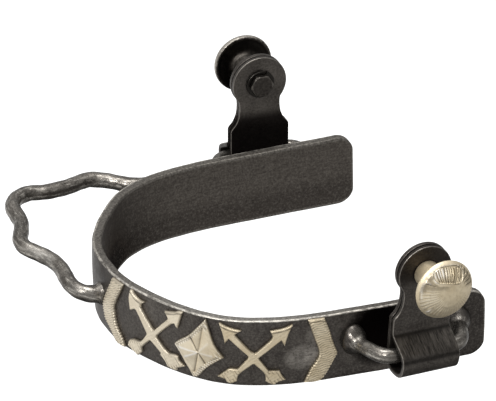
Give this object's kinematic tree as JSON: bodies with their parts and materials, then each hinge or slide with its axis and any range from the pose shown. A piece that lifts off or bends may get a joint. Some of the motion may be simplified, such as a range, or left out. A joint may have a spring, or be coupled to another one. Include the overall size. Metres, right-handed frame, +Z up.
{
  "type": "spur",
  "caption": "Western bumper spur: U-shaped steel heel band with silver overlays, a wavy rod bumper behind it and hinged swinging hangers that carry strap buttons.",
  "frame": {"origin": "middle of the band's flat under rim at the heel", "axes": "+X from the heel towards the open ends, -Y towards the outer decorated side, +Y towards the plain side, +Z up across the band"},
  "size_m": [0.1027, 0.1441, 0.0429],
  "materials": {
    "band_steel": "antiqued dark brown-grey steel, brushed",
    "rod_steel": "worn grey steel rod",
    "strap_steel": "antiqued dark strap steel",
    "fastener_steel": "blackened fastener steel",
    "dark_button": "dark back of a plated button",
    "silver": "warm nickel silver, engraved, slightly tarnished"
  },
  "bodies": {
    "spur": {"heel_band": "band_steel", "bumper_loop": "rod_steel", "staple_outer": "rod_steel", "staple_inner": "rod_steel", "chevron_rear": "silver", "crossed_arrows_rear": "silver", "diamond": "silver", "crossed_arrows_front": "silver", "chevron_front": "silver"},
    "outer_hanger": {"hanger_outer": "strap_steel", "button_outer": "silver", "bolt_outer": "fastener_steel", "lock_washer_outer": "fastener_steel"},
    "inner_hanger": {"hanger_inner": "strap_steel", "button_inner": "dark_button", "bolt_inner": "fastener_steel", "lock_washer_inner": "fastener_steel"}
  },
  "joints": [
    {"name": "outer_hanger_swing", "type": "hinge", "parent": "spur", "child": "outer_hanger", "pos_m": [0.06415, -0.0588, 0.0117], "axis": [1, 0, 0], "range_deg": [-38, 170]},
    {"name": "inner_hanger_swing", "type": "hinge", "parent": "spur", "child": "inner_hanger", "pos_m": [0.06255, 0.0588, 0.0117], "axis": [-1, 0, 0], "range_deg": [-38, 170]}
  ]
}
